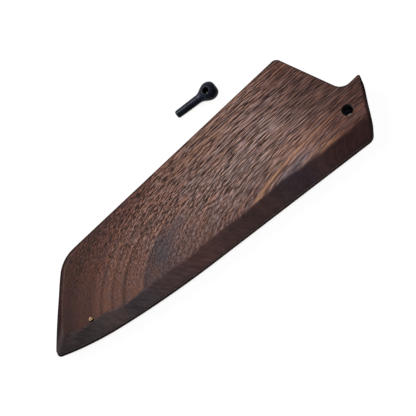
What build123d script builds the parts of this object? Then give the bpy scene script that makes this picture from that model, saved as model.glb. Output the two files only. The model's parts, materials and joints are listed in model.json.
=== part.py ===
from build123d import *
import math
import os

# A wooden blade guard for a kitchen knife with an angled tip, lying on its back face, with its
# retaining pin taken out and laid beside the spine. The pin hole's axis is the Z axis, X runs
# along the spine towards the mouth, Y points to the spine, and Z comes out of the front face.

# Boards, from the back face up
cover_thickness = 6.25
slot_thickness = 3.0

# Outline, from the pin hole's axis
spine_height = 47.45
heel_drop = 18.5
tip_reach = 194.4
tip_rise = 12.7
tip_edge_lean = 37.4
tip_edge_bow = 0.8
mouth_setback = 7.3
mouth_lean = 13.2
ear_rise = 10.2
ear_reach = 17.9
end_bow = 0.5

# The cutting edge's side: straight from the heel, then two arcs up to the tip
straight_length = 103.0
straight_climb = 10.8
first_arc_share = 0.625
first_arc_climb_share = 0.446

# Corner radii seen from the front
mouth_corner_radius = 4.0
notch_radius = 7.0
ear_tip_radius = 1.0
heel_radius = 5.0
point_radius = 2.0
brow_radius = 22.0

# Bevels worked on each cover, as widths on the face, and the square rim that they leave
rim_height = 5.0
heel_bevel = 9.2
straight_bevel = 8.0
belly_bevel = 7.4
point_bevel = 6.4
tip_edge_bevel = 3.3
ridge_corner_radius = 1.5

# Softened edges
spine_roundover = 3.0
edge_roundover = 1.0
roundness_share = 0.85

# The blade slot that the spacer leaves open
spine_wall = 7.0
edge_wall = 7.5
slot_point_lead = 2.5
slot_point_wood = 3.4
slot_corner_radius = 3.0

# The hole that the retaining pin goes through
pin_hole_diameter = 6.0
pin_hole_softening = 0.3

# The brass pin that ties the boards together at the tip
tip_pin_diameter = 2.4
tip_pin_setback = 25.5
tip_pin_rise = 12.5
tip_pin_clearance = 0.05
tip_pin_softening = 0.15

# The retaining pin, turned in one piece
head_diameter = 9.7
head_flat_reach = 4.2
shank_tip_diameter = 4.2
shank_neck_diameter = 4.9
head_to_tip = 20.7
neck_fillet = 2.0
shank_tip_radius = 0.8
cord_hole_diameter = 3.0
cord_hole_offset = 1.1
cord_hole_countersink = 0.6

# Where the retaining pin lies
pin_lies_back = 41.6
pin_lies_beyond_spine = 14.3
pin_heading = 171.0

overrun = 5.0

guard_thickness = 2 * cover_thickness + slot_thickness
middle = guard_thickness / 2
front_joint = middle + slot_thickness / 2
front_rim = middle + rim_height / 2


def toward(start, end):
    # unit direction from one point to another
    return (end - start).normalized()


def left_of(direction):
    # the direction turned a quarter turn to the left
    return Vector(-direction.Y, direction.X)


def bowed(start, end, bow):
    # an arc whose middle stands out to the right of the straight line by the bow
    middle_point = (start + end) / 2 - left_of(toward(start, end)) * bow
    return ThreePointArc(start, middle_point, end)


# Corners of the outline before they are rounded
mouth_corner = Vector(-mouth_setback, spine_height)
notch_corner = Vector(mouth_lean - mouth_setback, ear_rise)
ear_tip = Vector(ear_reach, ear_rise)
heel = Vector(0, -heel_drop)
straight_end = Vector(-straight_length, straight_climb - heel_drop)
point = Vector(-tip_reach, tip_rise)
arc_joint = Vector(
    straight_end.X + (point.X - straight_end.X) * first_arc_share,
    straight_end.Y + (point.Y - straight_end.Y) * first_arc_climb_share,
)
brow = Vector(tip_edge_lean - tip_reach, spine_height)
edge_direction = toward(heel, straight_end)
tip_pin_place = Vector(tip_pin_setback - tip_reach, tip_pin_rise)


def rim_outline():
    # the outline at the rim, with every corner rounded
    first_arc = TangentArc(straight_end, arc_joint, tangent=edge_direction)
    second_arc = TangentArc(arc_joint, point, tangent=first_arc % 1)
    sides = [
        Line(brow, mouth_corner),
        Line(mouth_corner, notch_corner),
        Line(notch_corner, ear_tip),
        bowed(heel, ear_tip, end_bow),
        Line(heel, straight_end),
        first_arc,
        second_arc,
        bowed(brow, point, tip_edge_bow),
    ]
    face = make_face(Curve() + sides)
    for corner, radius in (
        (mouth_corner, mouth_corner_radius),
        (notch_corner, notch_radius),
        (ear_tip, ear_tip_radius),
        (heel, heel_radius),
        (point, point_radius),
        (brow, brow_radius),
    ):
        face = fillet(face.vertices().sort_by_distance(corner)[0], radius)
    return face


def face_outline(rim):
    # the flat front face inside the bevels, with the same number of sides as the rim
    inward = -left_of(edge_direction)
    end_arc = bowed(heel, ear_tip, end_bow)
    ear_distance = (ear_tip - heel).dot(inward)
    ridge_heel = end_arc @ (heel_bevel / ear_distance)
    ridge_heel_middle = end_arc @ ((1 + heel_bevel / ear_distance) / 2)
    ridge_end = straight_end + inward * straight_bevel

    belly = TangentArc(straight_end, arc_joint, tangent=edge_direction)
    joint_inward = -left_of(belly % 1)
    ridge_joint = arc_joint + joint_inward * belly_bevel
    point_direction = TangentArc(arc_joint, point, tangent=belly % 1) % 1
    tip_direction = toward(point, brow)
    point_inward = -left_of(point_direction)
    tip_inward = -left_of(tip_direction)
    # the ridge's corner lies at both bevels' widths from the two sides that meet in the point
    crossing = point_inward.cross(tip_inward).Z
    ridge_point = point + (
        Vector(tip_inward.Y, -tip_inward.X) * point_bevel
        - Vector(point_inward.Y, -point_inward.X) * tip_edge_bevel
    ) / crossing

    brow_arc = rim.edges().sort_by_distance(brow)[0]
    brow_start, brow_end = brow_arc.vertices().sort_by(Axis.X)

    ridge = Line(ridge_heel, ridge_end)
    first_arc = TangentArc(ridge_end, ridge_joint, tangent=ridge % 1)
    second_arc = TangentArc(ridge_joint, ridge_point, tangent=first_arc % 1)
    sides = [
        brow_arc,
        Line(Vector(brow_end), mouth_corner),
        Line(mouth_corner, notch_corner),
        Line(notch_corner, ear_tip),
        ThreePointArc(ear_tip, ridge_heel_middle, ridge_heel),
        ridge,
        first_arc,
        second_arc,
        bowed(Vector(brow_start), ridge_point, tip_edge_bow),
    ]
    face = make_face(Curve() + sides)
    for corner, radius in (
        (mouth_corner, mouth_corner_radius),
        (notch_corner, notch_radius),
        (ear_tip, ear_tip_radius),
        (ridge_heel, ridge_corner_radius),
        (ridge_point, ridge_corner_radius),
    ):
        face = fillet(face.vertices().sort_by_distance(corner)[0], radius)
    return face


def rounded_edge(path, width):
    # what a rounding cutter takes off the front face's edge, with the outside on its left
    start = path @ 0
    outward = left_of(path % 0)
    top = Vector(0, 0, 1)
    away = start + outward * overrun
    inside = start - outward * width
    below = start - top * width
    chord_middle = (inside + below) / 2
    quarter_round_middle = inside - top * width + (outward + top).normalized() * width
    arc_middle = chord_middle + (quarter_round_middle - chord_middle) * roundness_share
    profile = make_face(
        Curve()
        + [
            Line(inside + top * overrun, inside),
            ThreePointArc(inside, arc_middle, below),
            Line(below, away - top * width),
            Line(away - top * width, away + top * overrun),
            Line(away + top * overrun, inside + top * overrun),
        ]
    )
    return sweep(profile, path=path)


def side_of(rim, near):
    # the rim's side nearest a place, as a curve that runs clockwise seen from the front
    edge = rim.edges().sort_by_distance(near)[0]
    start, middle_point, end = edge @ 0, edge @ (1 / 2), edge @ 1
    if rim.is_inside(middle_point + left_of(edge % (1 / 2)) * edge_roundover):
        start, end = end, start
    if edge.geom_type == GeomType.LINE:
        return Line(start, end)
    return ThreePointArc(start, middle_point, end)


def edge_cutters(rim):
    # one along the spine and round the brow, one along the mouth and the ear, one down the end
    brow_arc = side_of(rim, brow)
    corner_arc = side_of(rim, mouth_corner)
    mouth = side_of(rim, (mouth_corner + notch_corner) / 2)
    notch_arc = side_of(rim, notch_corner)
    end_side = side_of(rim, (heel + ear_tip) / 2)
    tip_run = (brow - point).length
    paths = (
        (
            [
                Line(brow_arc @ 0 - (brow_arc % 0) * tip_run, brow_arc @ 0),
                brow_arc,
                Line(brow_arc @ 1, Vector(mouth_corner.X + overrun, spine_height)),
            ],
            spine_roundover,
        ),
        (
            [
                corner_arc,
                mouth,
                notch_arc,
                Line(notch_arc @ 1, Vector(ear_reach + overrun, ear_rise)),
            ],
            edge_roundover,
        ),
        (
            [
                Line(end_side @ 0 - (end_side % 0) * overrun, end_side @ 0),
                end_side,
                Line(end_side @ 1, end_side @ 1 + (end_side % 1) * overrun),
            ],
            edge_roundover,
        ),
    )
    up = Pos(0, 0, guard_thickness)
    return [rounded_edge((up * (Curve() + sides)).wires()[0], radius) for sides, radius in paths]


def upright(radius, height, place, base=0):
    # a round bar or bore that stands along the Z axis
    lift = Pos(place.X, place.Y, base + height / 2)
    return lift * Cylinder(radius, height)


def hole_mouth(hole_radius, softening, place):
    # the small cone that softens a hole's mouth in the front face
    cone = Cone(hole_radius, hole_radius + 2 * softening, 2 * softening)
    return Pos(place.X, place.Y, guard_thickness) * cone


def front_cover(rim):
    # a board with a square rim, the bevels drawn up from it, and its sharp edges eased
    board = extrude(Pos(0, 0, front_joint) * rim, front_rim - front_joint)
    bevelled = loft(
        [Pos(0, 0, front_rim) * rim, Pos(0, 0, guard_thickness) * face_outline(rim)], ruled=True
    )
    cover = board + bevelled
    for cutter in edge_cutters(rim):
        cover -= cutter
    for radius, softening, place in (
        (pin_hole_diameter / 2, pin_hole_softening, Vector(0, 0)),
        (tip_pin_diameter / 2 + tip_pin_clearance, tip_pin_softening, tip_pin_place),
    ):
        cover -= upright(radius, cover_thickness + 2 * overrun, place, front_joint - overrun)
        cover -= hole_mouth(radius, softening, place)
    return cover


def blade_slot():
    # the blade's outline with its room, open at the mouth, the ear and the end
    inward = -left_of(edge_direction)
    slot_top = spine_height - spine_wall
    mouth_reach = ear_reach + overrun
    low_end = straight_end + inward * edge_wall
    low_start = low_end + edge_direction * ((mouth_reach - low_end.X) / edge_direction.X)
    slot_point = tip_pin_place + Vector(
        -slot_point_lead, tip_pin_diameter / 2 + slot_point_wood
    )
    tip_direction = toward(point, brow)
    slot_brow = slot_point + tip_direction * ((slot_top - slot_point.Y) / tip_direction.Y)
    sides = [
        Line(low_start, low_end),
        TangentArc(low_end, slot_point, tangent=edge_direction),
        Line(slot_point, slot_brow),
        Line(slot_brow, Vector(mouth_reach, slot_top)),
        Line(Vector(mouth_reach, slot_top), low_start),
    ]
    slot = make_face(Curve() + sides)
    for corner in (slot_point, slot_brow):
        slot = fillet(slot.vertices().sort_by_distance(corner)[0], slot_corner_radius)
    return slot


def core_spacer(rim):
    # the middle board, sawn out to the blade's shape, which sets the covers apart
    slot = extrude(Pos(0, 0, -overrun) * blade_slot(), slot_thickness + 2 * overrun)
    board = extrude(rim, slot_thickness) - slot
    hole = upright(
        tip_pin_diameter / 2 + tip_pin_clearance,
        slot_thickness + 2 * overrun,
        tip_pin_place,
        -overrun,
    )
    return Pos(0, 0, cover_thickness) * (board - hole)


def tip_pin():
    # the brass pin through all three boards, flush with both faces
    pin = upright(tip_pin_diameter / 2, guard_thickness, tip_pin_place)
    return chamfer(pin.edges().filter_by(GeomType.CIRCLE), tip_pin_softening)


def retaining_pin():
    # turned about X from the ball's centre to the shank's tip, bored across, and laid down
    head_radius = head_diameter / 2
    neck_radius = shank_neck_diameter / 2
    tip_radius = shank_tip_diameter / 2
    flat_radius = math.sqrt(head_radius**2 - head_flat_reach**2)
    neck = math.sqrt(head_radius**2 - neck_radius**2)
    profile = make_face(
        Curve()
        + [
            Line(Vector(-head_flat_reach, 0), Vector(-head_flat_reach, flat_radius)),
            ThreePointArc(
                Vector(-head_flat_reach, flat_radius),
                Vector(0, head_radius),
                Vector(neck, neck_radius),
            ),
            Line(Vector(neck, neck_radius), Vector(head_to_tip, tip_radius)),
            Line(Vector(head_to_tip, tip_radius), Vector(head_to_tip, 0)),
            Line(Vector(head_to_tip, 0), Vector(-head_flat_reach, 0)),
        ]
    )
    pin = revolve(profile, Axis.X)
    rings = pin.edges().filter_by(GeomType.CIRCLE)
    pin = fillet(rings.sort_by_distance(Vector(neck, neck_radius))[0], neck_fillet)
    rings = pin.edges().filter_by(GeomType.CIRCLE)
    pin = fillet(rings.sort_by(Axis.X)[-1], shank_tip_radius)

    cord_radius = cord_hole_diameter / 2
    across = Pos(cord_hole_offset, 0, 0)
    pin -= across * Cylinder(cord_radius, 2 * head_diameter)
    beside_bore = Vector(cord_hole_offset, cord_radius, head_radius)
    for mouth in (beside_bore, Vector(cord_hole_offset, cord_radius, -head_radius)):
        pin = chamfer(pin.edges().sort_by_distance(mouth)[0], cord_hole_countersink)

    # it rests on the shank's rounded tip and on the rim of the cord hole
    rest_x = cord_hole_offset - cord_radius - cord_hole_countersink
    rest_z = -math.sqrt(head_radius**2 - rest_x**2)
    along = head_to_tip - shank_tip_radius - rest_x
    up = tip_radius - shank_tip_radius + rest_z
    tilt = math.asin(-shank_tip_radius / math.hypot(along, up)) - math.atan2(up, along)
    head_height = rest_x * math.sin(tilt) - rest_z * math.cos(tilt)
    lying = Pos(-pin_lies_back, spine_height + pin_lies_beyond_spine, head_height)
    lying *= Rot(0, 0, pin_heading) * Rot(0, math.degrees(tilt), 0)
    print("retaining pin tilts", round(math.degrees(tilt), 3), "degrees")
    print("cord hole's middle", (lying * across).position)
    return lying * pin


def main():
    rim = rim_outline()
    front = front_cover(rim)
    pieces = {
        "front_cover": front,
        "core_spacer": core_spacer(rim),
        "back_cover": mirror(front, about=Plane.XY.offset(middle)),
        "tip_pin": tip_pin(),
        "retaining_pin": retaining_pin(),
    }
    os.makedirs("parts", exist_ok=True)
    for name, piece in pieces.items():
        piece.label = name
        export_step(piece, os.path.join("parts", name + ".step"))
        print(name, round(piece.volume, 1), "mm3")


main()
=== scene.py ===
import json
import math
from types import SimpleNamespace

import bmesh
import bpy
import numpy as np
from mathutils import Matrix, Vector
from mathutils.geometry import tessellate_polygon


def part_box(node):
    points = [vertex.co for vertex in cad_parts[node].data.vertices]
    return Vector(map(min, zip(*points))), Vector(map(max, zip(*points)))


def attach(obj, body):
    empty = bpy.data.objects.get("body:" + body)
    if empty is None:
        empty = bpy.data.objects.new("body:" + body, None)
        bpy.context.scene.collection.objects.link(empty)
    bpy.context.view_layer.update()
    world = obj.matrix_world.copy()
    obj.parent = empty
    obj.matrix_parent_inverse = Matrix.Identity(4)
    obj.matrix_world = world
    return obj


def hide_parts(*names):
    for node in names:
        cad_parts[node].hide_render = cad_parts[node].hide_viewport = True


# A walnut blade guard for a kitchen knife, with its black turned pin drawn out and laid by the spine.
# X runs along the spine towards the mouth, Y points to the spine, Z comes out of the front face,
# and the pin hole's axis is the Z axis. Lengths below are in millimetres and turned to metres once.

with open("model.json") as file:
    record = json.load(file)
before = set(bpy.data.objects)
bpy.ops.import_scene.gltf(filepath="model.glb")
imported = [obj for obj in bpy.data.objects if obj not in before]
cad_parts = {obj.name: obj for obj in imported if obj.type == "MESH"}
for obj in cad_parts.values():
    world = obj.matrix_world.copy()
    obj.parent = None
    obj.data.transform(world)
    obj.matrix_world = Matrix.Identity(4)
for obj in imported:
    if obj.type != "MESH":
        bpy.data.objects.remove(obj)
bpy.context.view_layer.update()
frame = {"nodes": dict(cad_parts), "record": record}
mm = 0.001


def newObject(name, data):
    made = bpy.data.objects.new(name, data)
    bpy.context.scene.collection.objects.link(made)
    return made


# Camera

camera = dict(
    right=(0.7234, -0.6781, -0.13),  # image axes in the guard's own frame
    up=(0.6806, 0.6687, 0.2994),
    towards=(-0.1161, -0.3051, 0.9452),
    centre=(-73.11, -45.34),  # image centre along right and up
    width=212.16,  # what the picture takes in
    distance=900.0,
)


def makeCamera(settings):
    lens = bpy.data.cameras.new("camera")
    lens.type = "ORTHO"
    lens.ortho_scale = settings["width"] * mm
    body = newObject("camera", lens)
    axes = Matrix([settings["right"], settings["up"], settings["towards"]]).transposed()
    place = axes @ Vector((*settings["centre"], settings["distance"])) * mm
    body.matrix_world = Matrix.Translation(place) @ axes.to_4x4()
    bpy.context.scene.camera = body


makeCamera(camera)
print("camera placed")


# Outlines, as rows of points that run clockwise seen from the front

guard = dict(
    coverThickness=6.25,
    slotThickness=3.0,
    spineHeight=47.45,
    heelDrop=18.5,
    tipReach=194.4,
    tipRise=12.7,
    tipEdgeLean=37.4,
    tipEdgeBow=0.8,
    mouthSetback=7.3,
    mouthLean=13.2,
    earRise=10.2,
    earReach=17.9,
    endBow=0.5,
    straightLength=103.0,
    straightClimb=10.8,
    firstArcShare=0.625,
    firstArcClimbShare=0.446,
    mouthRadius=4.0,
    notchRadius=7.0,
    earRadius=1.0,
    heelRadius=5.0,
    pointRadius=2.0,
    browRadius=22.0,
    rimHeight=5.0,
    heelBevel=9.2,
    straightBevel=8.0,
    bellyBevel=7.4,
    pointBevel=6.4,
    tipEdgeBevel=3.3,
    ridgeRadius=1.5,
    holeDiameter=6.0,
    holeSoftening=0.3,
    tipPinDiameter=2.4,
    tipPinSetback=25.5,
    tipPinRise=12.5,
    tipPinRoom=0.05,
    tipPinSoftening=0.15,
)
guardThickness = 2 * guard["coverThickness"] + guard["slotThickness"]
middle = guardThickness / 2


def plan(x, y):
    return np.array([x, y])


mouthCorner = plan(-guard["mouthSetback"], guard["spineHeight"])
notchCorner = plan(guard["mouthLean"] - guard["mouthSetback"], guard["earRise"])
earTip = plan(guard["earReach"], guard["earRise"])
heel = plan(0, -guard["heelDrop"])
straightEnd = plan(-guard["straightLength"], guard["straightClimb"] - guard["heelDrop"])
point = plan(-guard["tipReach"], guard["tipRise"])
arcJoint = straightEnd + (point - straightEnd) * plan(guard["firstArcShare"], guard["firstArcClimbShare"])
brow = plan(guard["tipEdgeLean"] - guard["tipReach"], guard["spineHeight"])
tipPinPlace = plan(guard["tipPinSetback"] - guard["tipReach"], guard["tipPinRise"])

sideSteps = 400


def heading(start, end):
    return (end - start) / np.linalg.norm(end - start)


def leaving(side):
    return heading(side[-2], side[-1])


def leftOf(direction):
    return plan(-direction[1], direction[0])


def cross(a, b):
    return a[0] * b[1] - a[1] * b[0]


def straightSide(start, end):
    # start plus a share of the way to end
    return start + (end - start) * np.linspace(0, 1, sideSteps)[:, None]


def arcSide(start, end, first):
    # circle that leaves start along a heading and passes end: r (sin a along, 1 - cos a to the left)
    chord = end - start
    turn = 2 * math.atan2(cross(first, chord), first @ chord)
    radius = np.linalg.norm(chord) / 2 / math.sin(turn / 2)
    angle = (np.linspace(0, 1, sideSteps) * turn)[:, None]
    return start + radius * (np.sin(angle) * first + (1 - np.cos(angle)) * leftOf(first))


def bowedSide(start, end, bow):
    # arc whose middle stands out to the right of the straight line by the bow
    halfTurn = 2 * math.atan(2 * bow / np.linalg.norm(end - start))
    direct = heading(start, end)
    return arcSide(start, end, direct * math.cos(halfTurn) - leftOf(direct) * math.sin(halfTurn))


def cutOut(side, first, last, count):
    # evenly spaced points between two distances along a side
    lengths = np.concatenate([[0], np.cumsum(np.linalg.norm(np.diff(side, axis=0), axis=1))])
    at = np.linspace(first, lengths[-1] - last, count)
    return np.stack([np.interp(at, lengths, side[:, axis]) for axis in range(2)], axis=1)


def conic(start, control, end, weight, count):
    # rational quadratic from start to end, a circle's arc where weight is cos of half the turn
    share = np.linspace(0, 1, count).reshape((-1,) + (1,) * np.ndim(start))
    first, mid, last = (1 - share) ** 2, 2 * share * (1 - share) * weight, share ** 2
    return (first * start + mid * control + last * end) / (first + mid + last)


def roundedLoop(sides, radii, sideCounts, cornerCounts):
    # trims each side by radius x tan(turn / 2) at its corners and joins them with arcs;
    # radii[i] is at the end of sides[i], and zero where the sides already run on smoothly
    total = len(sides)
    setbacks = []
    for i in range(total):
        before, after = sides[i], sides[(i + 1) % total]
        a, b = leaving(before), heading(after[0], after[1])
        setbacks.append(radii[i] * abs(math.tan(math.atan2(cross(a, b), a @ b) / 2)))
    trimmed = [cutOut(side, setbacks[i - 1], setbacks[i], sideCounts[i]) for i, side in enumerate(sides)]
    pieces = []
    for i in range(total):
        pieces.append(trimmed[i][:-1])
        if not radii[i]:
            continue
        before, after = trimmed[i], trimmed[(i + 1) % total]
        a, b = leaving(before), heading(after[0], after[1])
        reach = cross(after[0] - before[-1], b) / cross(a, b)
        weight = math.cos(math.atan2(cross(a, b), a @ b) / 2)
        arc = conic(before[-1], before[-1] + a * reach, after[0], weight, cornerCounts[i])
        pieces.append(arc[:-1])
    return pieces


outlineSteps = dict(
    sides=[150, 40, 20, 44, 110, 60, 60, 56],  # spine, mouth, ear, end, straight, two arcs, tip edge
    corners=[16, 24, 12, 18, 0, 0, 14, 44],  # at the end of each of these
)


def outlines():
    # the rim's loop and the flat face's loop, matched point by point
    sideCounts, cornerCounts = outlineSteps["sides"], outlineSteps["corners"]
    edge = heading(heel, straightEnd)
    firstArc = arcSide(straightEnd, arcJoint, edge)
    secondArc = arcSide(arcJoint, point, leaving(firstArc))
    end = bowedSide(heel, earTip, guard["endBow"])
    rim = roundedLoop(
        [
            straightSide(brow, mouthCorner),
            straightSide(mouthCorner, notchCorner),
            straightSide(notchCorner, earTip),
            end[::-1],
            straightSide(heel, straightEnd),
            firstArc,
            secondArc,
            bowedSide(brow, point, guard["tipEdgeBow"])[::-1],
        ],
        [guard[k + "Radius"] for k in ("mouth", "notch", "ear", "heel")]
        + [0, 0, guard["pointRadius"], guard["browRadius"]],
        sideCounts,
        cornerCounts,
    )

    inward = -leftOf(edge)  # the interior lies to the right of a clockwise side
    earDistance = (earTip - heel) @ inward
    upperEnd = end[round(guard["heelBevel"] / earDistance * (sideSteps - 1)):]
    ridgeEnd = straightEnd + inward * guard["straightBevel"]
    ridgeJoint = arcJoint - leftOf(leaving(firstArc)) * guard["bellyBevel"]
    pointInward, tipInward = -leftOf(leaving(secondArc)), -leftOf(heading(point, brow))
    ridgePoint = point + (
        plan(tipInward[1], -tipInward[0]) * guard["pointBevel"]
        - plan(pointInward[1], -pointInward[0]) * guard["tipEdgeBevel"]
    ) / cross(pointInward, tipInward)
    ridge = straightSide(upperEnd[0], ridgeEnd)
    firstRidge = arcSide(ridgeEnd, ridgeJoint, heading(ridge[0], ridge[1]))
    secondRidge = arcSide(ridgeJoint, ridgePoint, leaving(firstRidge))
    browArc = rim[-1]
    low = roundedLoop(
        [
            upperEnd[::-1],
            ridge,
            firstRidge,
            secondRidge,
            bowedSide(browArc[0], ridgePoint, guard["tipEdgeBow"])[::-1],
        ],
        [guard["ridgeRadius"], 0, 0, guard["ridgeRadius"], 0],
        sideCounts[3:],
        [cornerCounts[3], 0, 0, cornerCounts[6], 0],
    )
    earArcEnd = rim[6][0]  # where the ear's rounding meets the end
    low[0] = low[0] + (earArcEnd - low[0][0]) * np.linspace(1, 0, len(low[0]))[:, None]
    face = rim[:6] + low + [browArc]
    return rim, face


rimPieces, facePieces = outlines()
print("outlines worked out")


# Meshes

def meshObject(name, points, faces, smooth=True):
    mesh = bpy.data.meshes.new(name)
    mesh.from_pydata((points * mm).tolist(), [], faces)
    mesh.polygons.foreach_set("use_smooth", [smooth] * len(mesh.polygons))
    mesh.update()
    return newObject(name, mesh)


def ringFaces(rows, around, first=0):
    # quads between neighbouring closed rings of points
    row, col = np.meshgrid(np.arange(rows - 1), np.arange(around), indexing="ij")
    after = (col + 1) % around
    a, b = row * around + col, row * around + after
    return (np.stack([b, b + around, a + around, a], axis=-1).reshape(-1, 4) + first).tolist()


def capFaces(loops, flip=False):
    # triangles that fill the first loop round the others; a loop is a list of (index, x, y)
    order = [item[0] for loop in loops for item in loop]
    flat = [[Vector((item[1], item[2], 0)) for item in loop] for loop in loops]
    faces = [[order[i] for i in triangle] for triangle in tessellate_polygon(flat)]
    return [face[::-1] for face in faces] if flip else faces


# Covers

cover = dict(
    ridgeSoftness=0.8,  # how far the ridge's rounding reaches each way
    heelSoftness=2.0,  # and how far it does by the heel
    heelStretch=(-75, -25),  # where along the spine it grows to that
    rimSoftness=0.45,
    spineRoundover=3.0,
    edgeRoundover=1.0,
    earRoundover=0.8,
    bevelWidths=(1.5, 4.5),  # no bevel below the first, and a full one above the second
    bevelEase=10.0,  # how gently the bevelled side ends below the spine
    waviness=0.16,  # how far hand work leaves the ridge off its line
    waveLengths=(17, 29, 47),
    faceting=0.05,  # and the bevel off its plane
    facetLengths=(13, 31),
    facetTurn=2.1,  # what sets the two boards' facets apart
    wanderAt=(-190, -183, -176, -168, -162, -150, -139, -124, -112, -98, -66, -45, -30, -12, 6),
    wander=(0, 0.4, -0.9, 0, 0.7, -2.0, -0.5, 0.3, -0.8, 0.2, 0, 1.2, 0.2, 0.2, 0),
    flatStart=0.06,  # a narrow first row of the flat face, which keeps it flat
    rimRows=6,
    bevelRows=8,
    ridgeRows=10,
    mouthRows=6,
    holeSides=72,
    tipHoleSides=36,
)


def smoothed(x, places, values):
    # cosine-eased steps between given values
    index = np.clip(np.searchsorted(places, x) - 1, 0, len(places) - 2)
    start, end = np.take(places, index), np.take(places, index + 1)
    share = np.clip((x - start) / (end - start), 0, 1)
    eased = (1 - np.cos(math.pi * share)) / 2
    return np.take(values, index) * (1 - eased) + np.take(values, index + 1) * eased


def roundovers(x, bevelled):
    # reach of the face's edge rounding at each outline point
    spine, edge, ear = (cover[k + "Roundover"] for k in ("spine", "edge", "ear"))
    ridge = cover["ridgeSoftness"]
    ends = [spine] * 2 + [edge] * 3 + [ear] * 3 + [ridge] * 5 + [spine] * 2
    spans = zip(ends, ends[1:], rimPieces)
    reach = np.concatenate([np.linspace(a, b, len(loop), endpoint=False) for a, b, loop in spans])
    return reach + (cover["heelSoftness"] - ridge) * smoothed(x, cover["heelStretch"], (0, 1)) * bevelled


def towards(start, end):
    gap = end - start
    return gap / np.maximum(np.linalg.norm(gap, axis=-1, keepdims=True), 1e-9)


def turnWeight(before, after):
    return np.sqrt((1 + np.clip((before * after).sum(-1, keepdims=True), -1, 1)) / 2)


frontSeed, backSeed = 1, 2


def coverRows(seed):
    # profile carried round the outline: wall, eased rim, bevel, eased ridge, start of the flat face
    rim, face = np.concatenate(rimPieces), np.concatenate(facePieces)
    along = np.roll(face, -1, axis=0) - np.roll(face, 1, axis=0)
    along /= np.linalg.norm(along, axis=1, keepdims=True)
    inward = np.stack([along[:, 1], -along[:, 0]], axis=1)
    width = np.linalg.norm(face - rim, axis=1)
    least, full = cover["bevelWidths"]
    bevelled = np.clip((width - least) / (full - least), 0, 1)
    x = face[:, 0]
    waves = enumerate(cover["waveLengths"], 1)
    drift = cover["waviness"] * sum(np.sin(x / length * 2 * math.pi + seed * k) for k, length in waves)
    if seed == frontSeed:
        drift = drift + smoothed(x, cover["wanderAt"], cover["wander"])
    lower = np.clip((face[:, 1].max() / 2 - face[:, 1]) / cover["bevelEase"], 0, 1)
    face = face + inward * (drift * bevelled * lower)[:, None]

    count = len(rim)
    joint, rimTop = middle + guard["slotThickness"] / 2, middle + guard["rimHeight"] / 2

    def at(places, height):
        return np.column_stack([places, np.full(count, height)])

    foot, shoulder, crest = at(rim, joint), at(rim, rimTop), at(face, guardThickness)
    flat = np.column_stack([inward, np.zeros(count)])
    upwards = np.tile([0.0, 0.0, 1.0], (count, 1))
    slope = towards(shoulder, crest)
    reach = roundovers(x, bevelled)[:, None]
    soft = cover["rimSoftness"]
    start, end = shoulder + slope * soft, crest - slope * reach
    rimTurn, ridgeTurn = turnWeight(upwards, slope), turnWeight(slope, flat)
    share = np.linspace(0, 1, cover["bevelRows"])[1:-1, None, None]
    bevel = start + (end - start) * share
    away = np.cross(slope, np.column_stack([along, np.zeros(count)]))
    away *= np.sign(away[:, 2:] + 1e-9)
    short, long = cover["facetLengths"]
    ripple = np.sin(x / short + cover["facetTurn"] * seed) * np.sin(x / long + seed) * bevelled
    bevel += away * (cover["faceting"] * ripple)[:, None] * np.sin(math.pi * share)
    rows = [
        foot[None],
        conic(shoulder - upwards * soft, shoulder, start, rimTurn, cover["rimRows"]),
        bevel,
        conic(end, crest, crest + flat * reach, ridgeTurn, cover["ridgeRows"]),
        (crest + flat * (reach + cover["flatStart"]))[None],
    ]
    return np.concatenate(rows), bevelled * lower


def circle(centre, radius, height, sides):
    angle = np.linspace(0, 2 * math.pi, sides, endpoint=False)
    return np.column_stack(
        [centre[0] + radius * np.cos(angle), centre[1] + radius * np.sin(angle), np.full(sides, height)]
    )


def holeRows(centre, radius, softening, sides, foot):
    # a bore with an eased mouth in the face: quarter arc out to radius + softening, a rim, then the flat
    angle = np.linspace(0, math.pi / 2, cover["mouthRows"])
    top = guardThickness
    mouth = [(radius + softening * (1 - math.cos(a)), top - softening * (1 - math.sin(a))) for a in angle]
    profile = [(radius, foot), *mouth, (radius + softening + cover["flatStart"], top)]
    return np.stack([circle(centre, r, z, sides) for r, z in profile])


def numbered(ring, first):
    return [(first + i, p[0], p[1]) for i, p in enumerate(ring)]


def makeCover(name, seed, mirrored):
    outer, bevelled = coverRows(seed)
    foot = middle + guard["slotThickness"] / 2
    bore = holeRows((0, 0), guard["holeDiameter"] / 2, guard["holeSoftening"], cover["holeSides"], foot)
    tipRadius = guard["tipPinDiameter"] / 2 + guard["tipPinRoom"]
    tipBore = holeRows(tipPinPlace, tipRadius, guard["tipPinSoftening"], cover["tipHoleSides"], foot)
    points, faces, base, tops = [], [], 0, []
    for rows in (outer, bore, tipBore):
        count, around = rows.shape[:2]
        points.append(rows.reshape(-1, 3))
        faces += ringFaces(count, around, base)
        tops.append((numbered(rows[0], base), numbered(rows[-1], base + (count - 1) * around)))
        base += count * around
    faces += capFaces([top[1] for top in tops]) + capFaces([top[0] for top in tops], flip=True)
    points = np.concatenate(points)
    if mirrored:
        points[:, 2] = guardThickness - points[:, 2]
    piece = meshObject(name, points, faces)
    orient(piece)
    markSurface(piece, np.tile(bevelled, len(outer)))
    return piece


def markSurface(piece, bevelled):
    # for the wood: how far each point has turned from flat, 1 on the walls, and whether it is
    # on the bevelled side
    count = len(piece.data.vertices)
    normals = np.zeros(count * 3)
    piece.data.vertices.foreach_get("normal", normals)
    setAttribute(piece, "turned", np.arccos(np.clip(np.abs(normals[2::3]), 0, 1)) / (math.pi / 2))
    setAttribute(piece, "bevelled", np.pad(bevelled, (0, count - len(bevelled))))


def setAttribute(piece, name, values):
    attribute = piece.data.attributes.new(name, "FLOAT", "POINT")
    attribute.data.foreach_set("value", values.astype(np.float32))


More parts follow.
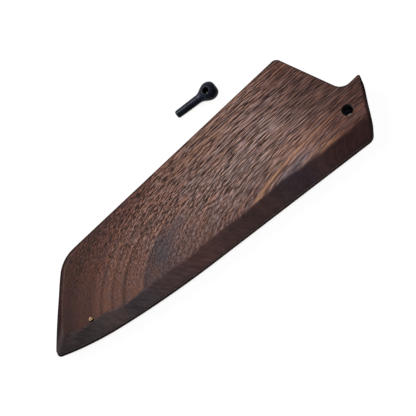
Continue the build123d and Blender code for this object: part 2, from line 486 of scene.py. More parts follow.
def orient(piece):
    # outward faces on a closed shape
    shape = bmesh.new()
    shape.from_mesh(piece.data)
    bmesh.ops.recalc_face_normals(shape, faces=shape.faces)
    shape.to_mesh(piece.data)
    shape.free()


coverFront = makeCover("cover_front_board", frontSeed, False)
coverBack = makeCover("cover_back_board", backSeed, True)
print("covers made")


# Retaining pin, worked out as a distance from its surface and meshed where that is zero

pin = dict(
    headDiameter=9.7,
    flatReach=4.2,
    tipDiameter=4.2,
    neckDiameter=4.9,
    headToTip=20.7,
    neckFillet=2.6,  # how softly the shank runs into the ball
    tipRounding=1.1,
    flatRounding=0.7,
    boreDiameter=3.0,
    boreOffset=1.1,
    mouthRounding=0.9,  # the bore's eased mouths
    voxel=0.16,
    margin=3,  # empty cells round the form
    passes=6,  # how often the points move towards the surface
    pull=0.9,  # and how much of the way each time
    nudge=0.01,  # how far to each side the distance's slope is measured
    leastSlope=0.2,  # keeps a move short where the slope is faint
    boreShadowReach=0.5,  # how far the bore's painted shadow runs out of it
)


def pinAxes():
    # the cord hole's place and axis come from the frame; the shank points down the slope beside it
    bore = next(m for m in frame["record"]["mounts"] if m["name"] == "cord_hole")
    across = np.array(bore["axis"])
    level = np.hypot(across[0], across[1])
    shank = np.array([across[0] * across[2] / level, across[1] * across[2] / level, -level])
    centre = np.array(bore["pos_m"]) / mm - shank * pin["boreOffset"]
    return centre, shank, across


def softLeast(a, b, reach):
    # smooth minimum: rounds the joint of two forms over about the reach
    h = np.clip((reach - np.abs(a - b)) / reach, 0, 1)
    return np.minimum(a, b) - h * h * reach / 4


def softMost(a, b, reach):
    return -softLeast(-a, -b, reach)


def pinDistance(points):
    # ball cut by its flat, joined to a slightly tapered shank with a rounded tip, less the bore
    centre, shank, _ = pinAxes()
    p = points - centre
    t = p @ shank
    radial = np.linalg.norm(p - t[:, None] * shank, axis=1)
    ball = np.linalg.norm(p, axis=1) - pin["headDiameter"] / 2
    head = softMost(ball, -t - pin["flatReach"], pin["flatRounding"])
    taper = (pin["neckDiameter"] - pin["tipDiameter"]) / 2 / pin["headToTip"]
    side = radial - (pin["neckDiameter"] / 2 - taper * t)
    rounding = pin["tipRounding"]
    beyond = t - pin["headToTip"]
    corner = np.stack([side + rounding, beyond + rounding])
    rod = np.linalg.norm(np.maximum(corner, 0), axis=0) + np.minimum(corner.max(axis=0), 0) - rounding
    rod = np.maximum(rod, -t)
    body = softLeast(head, rod, pin["neckFillet"])
    return softMost(body, -boreDistance(points), pin["mouthRounding"])


def boreDistance(points):
    centre, shank, across = pinAxes()
    q = points - centre - shank * pin["boreOffset"]
    return np.linalg.norm(q - (q @ across)[:, None] * across, axis=1) - pin["boreDiameter"] / 2


def makePin(name):
    # a coarse grid of distances becomes a mesh, and its points then move onto the surface
    low, high = (np.array(corner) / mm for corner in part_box("retaining_pin"))
    step, margin = pin["voxel"], pin["margin"]
    counts = np.ceil((high - low) / step).astype(int) + 2 * margin
    origin = low - margin * step
    axes = [origin[i] + step * np.arange(counts[i]) for i in range(3)]
    grid = np.stack(np.meshgrid(*axes, indexing="ij"), axis=-1)
    value = pinDistance(grid.reshape(-1, 3)).reshape(counts)
    points, quads = surfaceNet(value, origin, step)
    nudge = pin["nudge"]
    for _ in range(pin["passes"]):
        off = pinDistance(points)
        slope = np.stack(
            [pinDistance(points + nudge * unit) - pinDistance(points - nudge * unit) for unit in np.eye(3)],
            axis=1,
        ) / (2 * nudge)
        steepness = np.maximum((slope ** 2).sum(1), pin["leastSlope"])
        points = points - pin["pull"] * (off / steepness)[:, None] * slope
    piece = meshObject(name, points, quads.tolist())
    orient(piece)
    setAttribute(piece, "bored", np.clip(1 - boreDistance(points) / pin["boreShadowReach"], 0, 1))
    return piece


def surfaceNet(value, origin, step):
    # one point in each cell that the surface crosses, at the mean of its edges' crossings,
    # and one quad round each grid edge whose ends lie on different sides
    inside = value < 0
    cells = tuple(n - 1 for n in value.shape)
    total = np.zeros(cells + (3,))
    hits = np.zeros(cells)
    quads = []
    number = np.full(cells, -1)

    def part(array, shift):
        return array[tuple(slice(s, s + n) for s, n in zip(shift, cells))]

    for axis in range(3):
        others = [k for k in range(3) if k != axis]
        for a in (0, 1):
            for b in (0, 1):
                start = [0, 0, 0]
                start[others[0]], start[others[1]] = a, b
                finish = list(start)
                finish[axis] = 1
                v0, v1 = part(value, start), part(value, finish)
                crossed = (v0 < 0) != (v1 < 0)
                share = np.where(crossed, v0 / np.where(crossed, v0 - v1, 1), 0)
                place = np.zeros(cells + (3,)) + start
                place[..., axis] += share
                total += place * crossed[..., None]
                hits += crossed
    used = hits > 0
    number[used] = np.arange(used.sum())
    base = np.stack(np.meshgrid(*[np.arange(n) for n in cells], indexing="ij"), axis=-1)
    points = origin + step * (base[used] + total[used] / hits[used][:, None])
    for axis in range(3):
        u, v = [k for k in range(3) if k != axis]
        low = [slice(1, n) for n in cells]
        low[axis] = slice(0, cells[axis])
        ahead = [slice(1, n) for n in cells]
        ahead[axis] = slice(1, cells[axis] + 1)
        crossed = inside[tuple(low)] != inside[tuple(ahead)]
        at = np.argwhere(crossed)
        at[:, u] += 1
        at[:, v] += 1
        corners = []
        for du, dv in ((0, 0), (-1, 0), (-1, -1), (0, -1)):
            cell = at.copy()
            cell[:, u] += du
            cell[:, v] += dv
            corners.append(number[tuple(cell.T)])
        quads.append(np.stack(corners, axis=1))
    return points, np.concatenate(quads)


pinPiece = makePin("pin_turned")
print("pin made")


# Brass pin at the tip

brassPin = dict(
    crown=0.05,  # how far its worn end stands over its edge
    edgeRounding=0.10,
    crownSteps=9,
    edgeSteps=5,
    sides=48,
)


def lathe(name, profile, centre, sides):
    # a profile of (radius, height) turned about a vertical axis, closed at both poles
    loops = np.stack([circle(centre, radius, height, sides) for radius, height in profile[1:-1]])
    count = len(loops)
    poles = [[*centre, profile[0][1]], [*centre, profile[-1][1]]]
    points = np.concatenate([loops.reshape(-1, 3), poles])
    faces = ringFaces(count, sides)
    last = (count - 1) * sides
    for i in range(sides):
        after = (i + 1) % sides
        faces.append([count * sides, after, i])
        faces.append([count * sides + 1, last + i, last + after])
    piece = meshObject(name, points, faces)
    orient(piece)
    return piece


def makeBrassPin(name):
    # straight bar with worn, slightly crowned ends flush with both faces
    radius, crown = guard["tipPinDiameter"] / 2, brassPin["crown"]
    soft = brassPin["edgeRounding"]
    shares = np.linspace(0, 1, brassPin["crownSteps"])
    end = [(radius * s, crown * s ** 2) for s in shares * (1 - soft / radius)]
    drop = end[-1][1]
    angles = np.linspace(0, math.pi / 2, brassPin["edgeSteps"])[1:]
    end += [(radius - soft + soft * math.sin(a), drop + soft * (1 - math.cos(a))) for a in angles]
    profile = end + [(r, guardThickness - z) for r, z in end[::-1]]
    return lathe(name, profile, tipPinPlace, brassPin["sides"])


brassPiece = makeBrassPin("tip_pin_brass")
print("brass pin made")


# Materials

class Signal:
    # a node's output, whose maths is written as expressions

    def __init__(self, bench, socket):
        self.bench, self.socket = bench, socket

    def other(self, output):
        # another output of the same node
        return Signal(self.bench, self.socket.node.outputs[output])

    def joined(self, operation, other=None, swapped=False):
        if self.socket.type == "VECTOR":
            kind, other = "VectorMath", (other,) * 3 if isinstance(other, (int, float)) else other
        else:
            kind = "Math"
        terms = [self] if other is None else [other, self] if swapped else [self, other]
        return self.bench.node(kind, dict(operation=operation), dict(enumerate(terms)))

    def __add__(self, other):
        return self.joined("ADD", other)

    def __sub__(self, other):
        return self.joined("SUBTRACT", other)

    def __rsub__(self, other):
        return self.joined("SUBTRACT", other, swapped=True)

    def __mul__(self, other):
        return self.joined("MULTIPLY", other)

    def __truediv__(self, other):
        return self.joined("DIVIDE", other)

    def __rtruediv__(self, other):
        return self.joined("DIVIDE", other, swapped=True)

    __radd__ = __add__
    __rmul__ = __mul__


dashShape = dict(
    spread=(0.2, 0.9),  # a cell's random share that gives the least and the most radius
    leastRadius=0.001,
    core=0.7,  # the share of the radius that is dark throughout
)


class Bench:
    # the nodes of a material or a world

    def __init__(self, holder):
        self.holder = holder
        holder.use_nodes = True
        self.tree = holder.node_tree
        self.tree.nodes.clear()

    def node(self, kind, settings=None, inputs=None, output=0):
        made = self.tree.nodes.new("ShaderNode" + kind)
        for key, value in (settings or {}).items():
            if key == "stops":
                self.fillRamp(made.color_ramp, value)
            else:
                setattr(made, key, value)
        for key, value in (inputs or {}).items():
            if isinstance(value, Signal):
                self.tree.links.new(value.socket, made.inputs[key])
            else:
                made.inputs[key].default_value = value
        return Signal(self, made.outputs[output])

    def fillRamp(self, ramp, stops):
        ramp.elements.remove(ramp.elements[-1])
        for i, (place, colour) in enumerate(stops):
            element = ramp.elements[0] if i == 0 else ramp.elements.new(place)
            element.position = place
            element.color = (*colour, 1)

    def between(self, value, low, high):
        # 0 below low, 1 above high, eased between
        settings = dict(interpolation_type="SMOOTHSTEP", clamp=True)
        return self.node("MapRange", settings, {0: value, 1: low, 2: high, 3: 0.0, 4: 1.0})

    def scaled(self, value, low, high, newLow, newHigh):
        return self.node("MapRange", dict(clamp=True), {0: value, 1: low, 2: high, 3: newLow, 4: newHigh})

    def place(self):
        # where a point lies on the part, in millimetres
        return self.node("TexCoord", output="Object") * (1 / mm)

    def vector(self, x, y, z):
        return self.node("CombineXYZ", inputs={0: x, 1: y, 2: z})

    def attribute(self, name):
        return self.node("Attribute", dict(attribute_name=name), output="Fac")

    def noise(self, place, detail=2.0, roughness=0.5):
        return self.node("TexNoise", inputs=dict(Vector=place, Scale=1.0, Detail=detail, Roughness=roughness))

    def dashes(self, place, least, most):
        # 1 inside spots strewn one to a cell, whose radii run from least to most; none below zero
        spot = self.node("TexVoronoi", dict(voronoi_dimensions="2D"), dict(Vector=place, Scale=1.0))
        radius = self.scaled(spot.other("Color"), *dashShape["spread"], least, most)
        radius = radius.joined("MAXIMUM", dashShape["leastRadius"])
        return 1 - self.between(spot, radius * dashShape["core"], radius)

    def blended(self, factor, first, second, how="MIX"):
        colours = [c if isinstance(c, Signal) else (*c, 1) for c in (first, second)]
        settings = dict(data_type="RGBA", blend_type=how, clamp_factor=True)
        return self.node("Mix", settings, {0: factor, 6: colours[0], 7: colours[1]}, output=2)

    def tinted(self, colour, tone):
        return self.blended(1.0, colour, tone, "MULTIPLY")

    def bump(self, height, depth, strength, below=None, invert=False):
        inputs = dict(Strength=strength, Distance=depth * mm, Height=height)
        if below:
            inputs["Normal"] = below
        return self.node("Bump", dict(invert=invert), inputs)

    def finish(self, shader, kind="Material"):
        end = self.tree.nodes.new("ShaderNodeOutput" + kind)
        self.tree.links.new(shader.socket, end.inputs["Surface"])
        return self.holder


def newBench(name):
    return Bench(bpy.data.materials.new(name))


# A span of two numbers says where a share rises from 0 to 1. A span of four gives a value at each of
# two places. Places are millimetres along the spine or across the rings unless a note says otherwise.

walnut = dict(
    shades=[
        (0.00, (0.017, 0.007, 0.005)), (0.34, (0.060, 0.029, 0.023)),
        (0.62, (0.146, 0.079, 0.065)), (1.00, (0.310, 0.195, 0.160)),
    ],
    gold=(0.32, 0.165, 0.092),
    # the pale hairs' colour: partly pale fibre, partly a painted highlight on the pores' edges
    tan=(0.52, 0.305, 0.200),
    slate=(0.089, 0.070, 0.072),
    haze=(0.090, 0.075, 0.082),
    umber=(0.046, 0.024, 0.020),
    edgeShade=(0.46, 0.31, 0.26),  # painted shade: what the rounded edges keep of the face's tone
    wallShade=(0.44, 0.40, 0.42),  # painted shade: what the walls keep of the face's tone
    pore=(0.006, 0.002, 0.0015),
    poreDepth=0.10,
    poreStrength=0.6,
    speckDepth=0.4,  # a share of the pores'
    grainDepth=0.03,
    grainStrength=0.5,
    specular=0.12,
    roughness=0.45,
    rougher=dict(pore=0.2, fibre=0.2, wall=0.5, edge=0.4),
)

# growth rings: level is each ring's radius. It comes from rise, the distance across rings that run
# along the spine, and spread, which grows towards the tip and sweeps them round to the cutting edge.
rings = dict(
    slopeX=0.1858,
    slopeY=0.9826,
    offset=44.35,
    leastRise=2.0,
    spread=99.5,
    fade=197.0,
    tipX=-190.0,
    dip=0.8,  # how fast the rings sink into the board
    homeRise=60.0,  # where the length along the rings equals the place along the spine
    alongShift=256.3,  # makes the two equal there
    leastBend=0.05,
)

# coordinates that the grain follows
grain = dict(
    boardStep=0.35,  # how fast the pattern changes through a board
    streamStep=0.12,
    shortenAt=-92.0,  # fibres and pores shorten from there to the tip, as they come up through the face
    shortenOver=12.0,
    shortening=3.6,
    wander=1.6,  # how far the rings wander
    hairGlintOffset=0.45,  # from a pore to the pale hair beside it, which is partly pale fibre and partly a painted highlight on the pore's edge
    poreShare=(0.35, 0.6, 0.7, 1.0),  # how full the pores are, by the patch that they lie in
)

# noise: steps along the grain, across the rings and through the board, what is added to these,
# detail and roughness
fields = dict(
    wander=((0.025, 0.035, 0.2), (0, 0, 0), 2.0, 0.5),
    wide=((0.009, 0.15, 1.0), (0, 0, 0), 2.0, 0.55),
    streak=((0.35, 0.9, 0.5), (0, 0, 0), 2.0, 0.6),
    fibre=((0.45, 2.4, 1.0), (0, 0, 0), 2.0, 0.6),
    fine=((0.9, 3.8, 2.0), (0, 0, 0), 1.0, 0.6),
    warmth=((0.3, 0.8, 1.0), (7, 0, 5), 2.0, 0.6),
    patch=((0.02, 0.1, 0.2), (0, 0, 3), 1.0, 0.5),
)

# dashes: steps along the grain and across the rings, the board's own share, least and most radius
strokes = dict(
    hairGlint=(0.9, 1.9, 1, -0.10, 0.34),
    pore=(0.9, 1.9, 1, -0.16, 0.48),
    speck=(1.7, 2.4, 3, -0.50, 0.50),
)

# how strongly the grain shows
contrast = dict(
    tipLean=1.5,  # the calm part by the tip follows the rings
    tip=(-22, 45, 0.09, 1.0),
    mouth=(-22, 8, 1.0, 0.9),
    spine=(66, 82, 1.0, 1.75),
    cuttingEdge=(52, 63, 0.55, 1.0),
    bevel=0.65,  # what the bevels lose of it
    dashes=(0.1, 1.3, 0.15, 1.0),  # how dark the dashes are, by how strongly the grain shows
    hairGlint=0.65,
    speck=0.6,
)

# what makes the wood lighter or darker than its middle tone
tones = dict(
    middle=0.56,
    wide=0.15,
    streak=(-140, -90, 0.0, 0.1),
    fibre=0.2,
    fine=2.8,
    rippleStep=5.0,  # fine waves across the rings, which the streaks push about
    ripplePush=10.0,
    ripple=(0.35, 0.6, 0.05, 0.26),  # by the streak that it lies in
    rippleFade=(-150, -110, 0.3, 1.0),
    bevelLively=0.3,
    bevelStreak=(-130, -60, 1.2, 0.3),
    figureWander=1.5,
    figureEase=8.0,  # how gently a streak of the figure ends
    figureFine=(0.3, 0.6, 0.6, 1.0),  # by the fine grain
)

# where a board's parts lie; turned is how far the surface has turned from flat, 1 on the walls
regions = dict(
    edgeTurned=0.02,  # where the rounded edges' painted shade starts
    edgeFull=(-175, -150, 0.34, 0.6),  # and where it is full, by the place along the spine
    bevelTurned=(0.04, 0.26),
    bevelSway=0.2,  # how far the streaks move the bevel's colour at the ridge
    wallTurned=(0.40, 0.75),
    wallOffBevel=0.8,  # how much of the walls' painted shade the bevelled side goes without
    bore=(3.05, 3.2),  # where the pin hole's painted light lies, by the distance from its axis
    tip=(-198, -182),  # by the place along the spine less the level
    sawn=(-10, 0),
    sawnTurned=(0.6, 0.8),
)

frontFigure = [
    # colour, middle level, half width, from, to, strength
    ("umber", 76.0, 3.8, -24, 10, 0.42),
    ("umber", 90.0, 3.0, -70, -34, 0.14),
    ("umber", 97.0, 3.0, -10, 14, 0.35),
    ("umber", 61.0, 2.6, -96, -46, 0.30),
    ("slate", 60.8, 2.2, -122, -90, 0.70),
    ("slate", 73.0, 2.0, -142, -114, 0.20),
    ("slate", 77.2, 1.6, -142, -104, 0.75),
    ("haze", 57.2, 1.8, -58, -34, 0.80),
    ("gold", 60.6, 0.50, -84, -4, 1.00),
    ("gold", 62.4, 0.22, -60, -20, 0.50),
    ("gold", 54.0, 0.80, -34, -16, 0.90),
    ("gold", 56.0, 0.30, -40, -14, 0.35),
    ("gold", 89.0, 0.50, -88, -56, 0.40),
]

# lightness across the rings near the tip: each darkens outwards and ends in a sharp line
frontBands = [
    (45, 0.96), (69, 0.98), (72, (0.68, 0.76, 0.86)), (79.2, (0.60, 0.71, 0.85)),
    (80.1, (0.50, 0.57, 0.66)), (80.5, 1.18), (82.5, 1.18), (84.2, 1.10), (84.6, 0.60), (85.0, 0.66),
    (85.4, 1.28), (87.0, 1.14), (87.4, 0.74), (87.7, 0.79), (88.1, 1.28), (89.7, 1.10), (90.1, 0.68),
    (90.4, 0.72), (90.8, (1.14, 1.06, 1.06)),
    (91.6, (0.95, 0.86, 0.86)), (93, (0.60, 0.50, 0.50)), (95, (0.66, 0.53, 0.52)),
    (98.3, (0.38, 0.30, 0.30)), (100.2, (0.46, 0.33, 0.30)), (105, (0.28, 0.20, 0.19)),
]
evenBands = [(45, 1.0), (70, 0.93), (84, 1.0), (105, 0.9)]

# cooler towards the cutting edge
levelShade = [
    (50, (1.20, 1.21, 1.26)), (56, (1.20, 1.21, 1.24)), (61, (1.00, 1.02, 1.08)), (67, (0.91, 0.96, 1.02)),
    (73, (0.99, 1.05, 1.11)), (79, (0.99, 1.01, 1.05)), (85, (0.86, 0.84, 0.86)),
    (91, (0.84, 0.79, 0.77)), (97, (0.93, 0.88, 0.86)),
]

# how much darker the wood is towards its ends, by its place along the spine: partly its own tone, partly a
# painted sheen that lightens and greys the middle of the face
alongShadeAndSheen = [
    (-195, (0.36, 0.33, 0.33)), (-168, (0.56, 0.49, 0.46)), (-148, (0.65, 0.56, 0.51)),
    (-105, (0.72, 0.66, 0.65)), (-60, (0.96, 0.96, 0.96)), (-34, (1.03, 1.03, 1.05)),
    (-12, (0.56, 0.47, 0.46)), (6, (0.44, 0.34, 0.33)), (18, (0.34, 0.25, 0.25)),
]

# small patches run warmer or cooler, by their noise
warmthShade = [(0.30, (0.90, 1.00, 1.10)), (0.50, (1.00, 1.00, 1.00)), (0.68, (1.12, 0.98, 0.84))]

# painted light and shade up the pin hole's drilled wall, from the back face to the front: lit deep down and
# dark by the front's mouth
boreLightAndShade = [
    (0, (0.20, 0.21, 0.24)), (9, (0.20, 0.21, 0.24)), (13, (0.08, 0.082, 0.092)),
    (15.3, (0.02, 0.018, 0.018)),
]

# the bevels' tones by the place along the spine, inky beyond the middle: partly the oiled wood's own darker
# tone, partly painted shade, and in the greyer, bluer tones towards the tip a painted sheen
bevelShadeAndSheen = [
    (-195, (0.044, 0.034, 0.038)), (-181, (0.047, 0.034, 0.036)), (-170, (0.054, 0.041, 0.041)),
    (-157, (0.082, 0.056, 0.054)), (-148, (0.059, 0.045, 0.050)), (-140, (0.067, 0.050, 0.056)),
    (-132, (0.077, 0.048, 0.048)), (-120, (0.073, 0.044, 0.045)),
    (-108, (0.088, 0.044, 0.040)), (-84, (0.060, 0.034, 0.032)), (-60, (0.053, 0.028, 0.028)),
    (-52, (0.036, 0.024, 0.026)), (-37, (0.034, 0.021, 0.027)), (-28, (0.049, 0.024, 0.024)),
    (-14, (0.037, 0.016, 0.016)), (8, (0.035, 0.014, 0.014)),
]


# shift moves a board's rings; the spacer has no marked surface, so it counts as half turned throughout, which
# gives it the rounded edges' painted shade nearly in full and a little of the walls'
boards = dict(
    front=dict(seed=11.0, figure=frontFigure, bands=frontBands),
    back=dict(seed=53.0, shift=-6.0),
    spacer=dict(seed=91.0, shift=12.0, turned=0.5),
)


def ringPlace(b, shift):
    # place, level across the rings, and the length along them, whose lines cross them squarely
    split = b.node("SeparateXYZ", inputs={0: b.place()})
    x, y, z = (split.other(i) for i in range(3))
    r = rings
    rise = (x * r["slopeX"] + y * r["slopeY"] + r["offset"] + shift).joined("MAXIMUM", r["leastRise"])
    spread = ((x - r["tipX"]) / -r["fade"]).joined("EXPONENT") * r["spread"]
    level = (rise * rise + spread * spread).joined("SQRT") + (guardThickness - z) * r["dip"]
    bend = rise.joined("LOGARITHM", math.e) - math.log(r["homeRise"])
    bend = (bend + (r["fade"] ** 2 / 2) / (spread * spread)).joined("MAXIMUM", r["leastBend"])
    along = bend.joined("LOGARITHM", math.e) * (r["fade"] / 2) - r["alongShift"]
    return x, y, z, level, along


def rampOver(b, value, stops):
    low, high = stops[0][0], stops[-1][0]
    colours = [c if isinstance(c, tuple) else (c,) * 3 for _, c in stops]
    places = [(place - low) / (high - low) for place, _ in stops]
    share = b.scaled(value, low, high, 0.0, 1.0)
    return b.node("ValToRGB", dict(stops=list(zip(places, colours))), {0: share})


def grainSignals(b, level, along, z, seed):
    # noise and dashes that follow the rings
    g = grain
    third = z * g["boardStep"] + seed
    steep = ((along - g["shortenAt"]) / -g["shortenOver"]).joined("EXPONENT") + 1
    stream = along * g["streamStep"] - steep.joined("LOGARITHM", math.e) * g["shortening"]

    def field(kind, *place):
        steps, offsets, detail, roughness = fields[kind]
        return b.noise(b.vector(*place) * steps + offsets, detail, roughness)

    def stroke(kind, across):
        alongStep, acrossStep, own, least, most = strokes[kind]
        place = b.vector(stream * alongStep, across * acrossStep + seed * own, 0.0)
        return b.dashes(place, least, most)

    wander = field("wander", along, level, third)
    ring = level + (wander - 0.5) * g["wander"]
    patch = field("patch", along, ring, third)
    return SimpleNamespace(
        wander=wander,
        ring=ring,
        wide=field("wide", along, ring, seed),
        streak=field("streak", stream, ring, third),
        fibre=field("fibre", stream, ring, third),
        fine=field("fine", stream, ring, third),
        warmth=field("warmth", stream, ring, third),
        hairGlint=stroke("hairGlint", ring + g["hairGlintOffset"]),
        pore=stroke("pore", ring) * b.scaled(patch, *g["poreShare"]),
        speck=stroke("speck", ring),
    )


def regionShares(b, x, y, level, streak, turned):
    # 1 on each part of a board, 0 away from it
    r = regions
    turned = turned or b.attribute("turned")
    bevelled = b.attribute("bevelled")
    edgeFull = b.scaled(x, *r["edgeFull"])
    return SimpleNamespace(
        edge=(1 - bevelled) * b.between(turned, r["edgeTurned"], edgeFull),
        bevel=bevelled * b.between(turned + (streak - 0.5) * r["bevelSway"], *r["bevelTurned"]),
        wall=b.between(turned, *r["wallTurned"]) * (1 - bevelled * r["wallOffBevel"]),
        bore=1 - b.between((x * x + y * y).joined("SQRT"), *r["bore"]),
        tip=1 - b.between(x - level, *r["tip"]),
        sawn=b.between(x, *r["sawn"]) * b.between(turned, *r["sawnTurned"]),
    )


def liveliness(b, x, n):
    # streaks, fibres, fine grain and the ripple across them
    t = tones
    ripple = (n.ring * t["rippleStep"] + (n.streak - 0.5) * t["ripplePush"]).joined("SINE")
    ripple = ripple * b.scaled(n.streak, *t["ripple"])
    lively = (n.streak - 0.5) * b.scaled(x, *t["streak"]) + (n.fibre - 0.5) * t["fibre"]
    return lively + (n.fine - 0.5) * t["fine"] + ripple * b.scaled(x, *t["rippleFade"])


def addFigure(b, colour, figure, level, along, n):
    # coloured streaks that run along the rings between two places
    t = tones
    ease = t["figureEase"]
    for tint, centre, half, start, end, strength in figure:
        offset = (level + (n.wander - 0.5) * t["figureWander"] - centre) / half
        hill = (offset * offset * -1.0).joined("EXPONENT")
        begun = b.between(along, start - ease, start + ease)
        window = begun * (1 - b.between(along, end - ease, end + ease))
        share = hill * window * strength * b.scaled(n.fine, *t["figureFine"])
        colour = b.blended(share, colour, walnut[tint])
    return colour


def makeWalnut(name, seed, figure=(), bands=evenBands, shift=0.0, turned=None):
    b = newBench(name)
    x, y, z, level, along = ringPlace(b, shift)
    n = grainSignals(b, level, along, z, seed)
    on = regionShares(b, x, y, level, n.streak, turned)

    c = contrast
    calm = b.scaled(x + level * c["tipLean"], *c["tip"]) * b.scaled(x, *c["mouth"])
    calm = calm * b.scaled(level, *c["spine"]) * b.scaled(level, *c["cuttingEdge"])
    calm = calm * (1 - on.bevel * c["bevel"])
    depth = b.scaled(calm, *c["dashes"])
    lively = liveliness(b, x, n)
    tone = calm * lively + (n.wide - 0.5) * tones["wide"] + tones["middle"]
    colour = b.node("ValToRGB", dict(stops=walnut["shades"]), {0: tone})
    colour = b.tinted(colour, rampOver(b, n.warmth, warmthShade))
    # pale hairs beside the pores: partly pale fibre, partly a painted highlight on their edges
    colour = b.blended(n.hairGlint * depth * c["hairGlint"], colour, walnut["tan"])
    colour = addFigure(b, colour, figure, level, along, n)
    colour = b.blended(n.pore * depth, colour, walnut["pore"])
    colour = b.blended(n.speck * depth * c["speck"], colour, walnut["pore"])

    # partly the wood's own tone along the spine, partly a painted sheen on the middle of the face
    colour = b.tinted(colour, rampOver(b, x, alongShadeAndSheen))
    colour = b.tinted(colour, rampOver(b, level, levelShade))
    colour = b.blended(on.tip, colour, b.tinted(colour, rampOver(b, level, bands)))
    # the bevels take their tones of wood, painted shade and painted sheen, moved a little by the grain
    sway = lively * tones["bevelLively"] + (n.streak - 0.5) * b.scaled(x, *tones["bevelStreak"])
    bevelShadedTone = b.tinted(rampOver(b, x, bevelShadeAndSheen), b.vector(sway, sway, sway) + 1.0)
    colour = b.blended(on.bevel, colour, bevelShadedTone)
    # painted shade on the rounded edges
    colour = b.blended(on.edge, colour, b.tinted(colour, walnut["edgeShade"]))
    # painted shade on the walls
    colour = b.blended(on.wall, colour, b.tinted(colour, walnut["wallShade"]))
    # painted light and shade inside the pin hole
    colour = b.blended(on.bore, colour, rampOver(b, z, boreLightAndShade))

    w, more = walnut, walnut["rougher"]
    relief = b.bump(n.pore + n.speck * w["speckDepth"], w["poreDepth"], w["poreStrength"], invert=True)
    relief = b.bump(n.fibre, w["grainDepth"], w["grainStrength"], below=relief)
    roughness = n.pore * more["pore"] + (n.fibre - 0.5) * more["fibre"]
    roughness = roughness + on.wall * more["wall"] + on.edge * more["edge"] + w["roughness"]

    def finished(roughness, specular):
        return b.node("BsdfPrincipled", inputs={
            "Base Color": colour,
            "Roughness": roughness,
            "Normal": relief,
            "Specular IOR Level": specular,
        })

    # the sawn mouth end is dull, with no sheen at a low angle
    oiled, dull = finished(roughness, w["specular"]), finished(1.0, 0.0)
    return b.finish(b.node("MixShader", inputs={0: on.sawn, 1: oiled, 2: dull}))


blackWood = dict(
    dark=(0.0012, 0.0015, 0.0038),
    worn=(0.008, 0.013, 0.030),
    # painted shadow inside the cord hole
    bored=(0.0006, 0.0006, 0.0010),
    ringSteps=(2.4, 0.2),  # along the shank and out from the ball's middle
    ringNoise=(3.0, 0.6),  # detail and roughness
    ringDepth=0.06,
    ringStrength=0.5,
    scuffStep=1.1,
    scuffNoise=(4.0, 0.6),
    ringShare=0.6,  # the rings' part in where the wood is worn, the scuffs' the rest
    wear=(0.44, 0.62),
    roughness=(0.3, 0.7, 0.48, 0.60),  # by the scuffs
    shank=(3, 8),
    shankPolish=0.24,
    boredDullness=0.5,
    specular=0.15,
)


def makeBlackWood(name):
    # faint turning rings about the shank's axis on a near-black, slightly blue satin, with a painted shadow,
    # darker and duller still, inside the cord hole
    centre, shank, _ = pinAxes()
    w = blackWood
    b = newBench(name)
    spot = b.place() - tuple(centre)
    along = b.node("VectorMath", dict(operation="DOT_PRODUCT"), {0: spot, 1: tuple(shank)}, output="Value")
    reach = b.node("VectorMath", dict(operation="LENGTH"), {0: spot}, output="Value")
    alongStep, outStep = w["ringSteps"]
    ringing = b.noise(b.vector(along * alongStep, reach * outStep, 1.0), *w["ringNoise"])
    scuff = b.noise(spot * w["scuffStep"], *w["scuffNoise"])
    worn = b.between(ringing * w["ringShare"] + scuff * (1 - w["ringShare"]), *w["wear"])
    bored = b.attribute("bored")
    polish = b.between(along, *w["shank"]) * w["shankPolish"]
    shader = b.node("BsdfPrincipled", inputs={
        "Base Color": b.blended(bored, b.blended(worn, w["dark"], w["worn"]), w["bored"]),
        "Roughness": b.scaled(scuff, *w["roughness"]) - polish + bored * w["boredDullness"],
        "Normal": b.bump(ringing, w["ringDepth"], w["ringStrength"]),
        "Specular IOR Level": w["specular"],
    })
    return b.finish(shader)


brass = dict(
    bright=(0.27, 0.19, 0.115),
    tarnish=(0.12, 0.062, 0.030),
    smearStep=0.9,
    smearNoise=(3.0, 0.6),  # detail and roughness
    tarnished=(0.42, 0.58),
    scratchSteps=(9, 1.5, 1),
    scratchDepth=0.05,
    scratchStrength=0.4,
    roughness=(0.3, 0.7, 0.38, 0.6),  # by the scratches
)


def makeBrass(name):
    # file marks across a dulled brass
    b = newBench(name)
    spot = b.place()
    smear = b.noise(spot * brass["smearStep"], *brass["smearNoise"])
    scratch = b.noise(spot * brass["scratchSteps"])
    shader = b.node("BsdfPrincipled", inputs={
        "Base Color": b.blended(b.between(smear, *brass["tarnished"]), brass["bright"], brass["tarnish"]),
        "Roughness": b.scaled(scratch, *brass["roughness"]),
        "Normal": b.bump(scratch, brass["scratchDepth"], brass["scratchStrength"]),
        "Metallic": 1.0,
    })
    return b.finish(shader)


def paint(piece, material):
    piece.data.materials.clear()
    piece.data.materials.append(material)


paint(coverFront, makeWalnut("walnutFront", **boards["front"]))
paint(coverBack, makeWalnut("walnutBack", **boards["back"]))
paint(frame["nodes"]["core_spacer"], makeWalnut("walnutSpacer", **boards["spacer"]))
paint(brassPiece, makeBrass("brassWorn"))
paint(pinPiece, makeBlackWood("blackWood"))
print("materials made")


# Bodies: each piece joins its body, and the CAD part that it stands for is hidden

for piece, node, body, finish in (
    (coverFront, "front_cover", "sheath", "walnut"),
    (coverBack, "back_cover", "sheath", "walnut"),
    (brassPiece, "tip_pin", "sheath", "brass"),
    (pinPiece, "retaining_pin", "retaining_pin", "black_wood"),
):
    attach(piece, body)
    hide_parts(node)


# Studio

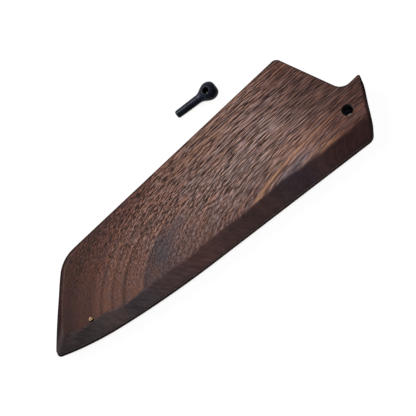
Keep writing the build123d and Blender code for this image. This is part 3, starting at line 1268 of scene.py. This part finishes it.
studio = dict(
    floorReach=4000.0,
    floorTone=(0.35, 0.35, 0.35),
    floorGlow=1.19,
    glowShare=0.81,
    openFrom=(0.13, 0.40),  # shares of open sky between which the floor starts to glow
    openReach=8.0,  # how far off a thing still covers the sky
    openRays=12,
    keyPlace=(-380.0, 560.0, 600.0),
    keyTarget=(-80.0, 20.0, 0.0),
    keySize=600.0,
    keyPower=13.0,
    skyStrength=0.30,
)


def anyOf(b, *kinds):
    # 1 for the kinds of ray that see the background as pale paper
    path = b.node("LightPath")
    total = sum((path.other(kind) for kind in kinds[1:]), path.other(kinds[0]))
    return total.joined("MINIMUM", 1.0)


def makeFloor(settings):
    reach = settings["floorReach"]
    corners = reach * np.array([[-1, -1, 0], [1, -1, 0], [1, 1, 0], [-1, 1, 0]])
    floor = meshObject("floor", corners, [[0, 1, 2, 3]], smooth=False)
    b = newBench("floorPaper")
    seen = anyOf(b, "Is Camera Ray", "Is Glossy Ray", "Is Transmission Ray")
    paper = b.node("BsdfDiffuse", inputs={0: (*settings["floorTone"], 1)})
    glow = b.node("Emission", inputs={"Strength": settings["floorGlow"]})
    rays = dict(samples=settings["openRays"])
    light = b.node("AmbientOcclusion", rays, {"Distance": settings["openReach"] * mm}, output="AO")
    share = seen * b.between(light, *settings["openFrom"]) * settings["glowShare"]
    mixed = b.node("MixShader", inputs={0: share, 1: paper, 2: glow})
    paint(floor, b.finish(mixed))


def makeKey(settings):
    lamp = bpy.data.lights.new("key", "AREA")
    lamp.size, lamp.energy = settings["keySize"] * mm, settings["keyPower"]
    body = newObject("key", lamp)
    place, target = Vector(settings["keyPlace"]) * mm, Vector(settings["keyTarget"]) * mm
    facing = (place - target).to_track_quat("Z", "Y").to_matrix().to_4x4()
    body.matrix_world = Matrix.Translation(place) @ facing


def makeSky(settings):
    # plain grey light from all round, which the camera sees as white
    sky = bpy.data.worlds.new("sky")
    bpy.context.scene.world = sky
    b = Bench(sky)
    seen = b.node("LightPath", output="Is Camera Ray")
    white = (1, 1, 1, 1)
    dim = b.node("Background", inputs={"Color": white, "Strength": settings["skyStrength"]})
    bright = b.node("Background", inputs={"Color": white, "Strength": 1.0})
    b.finish(b.node("MixShader", inputs={0: seen, 1: dim, 2: bright}), "World")


makeFloor(studio)
makeKey(studio)
makeSky(studio)
bpy.context.scene.view_settings.view_transform = "Standard"
print("studio lit")
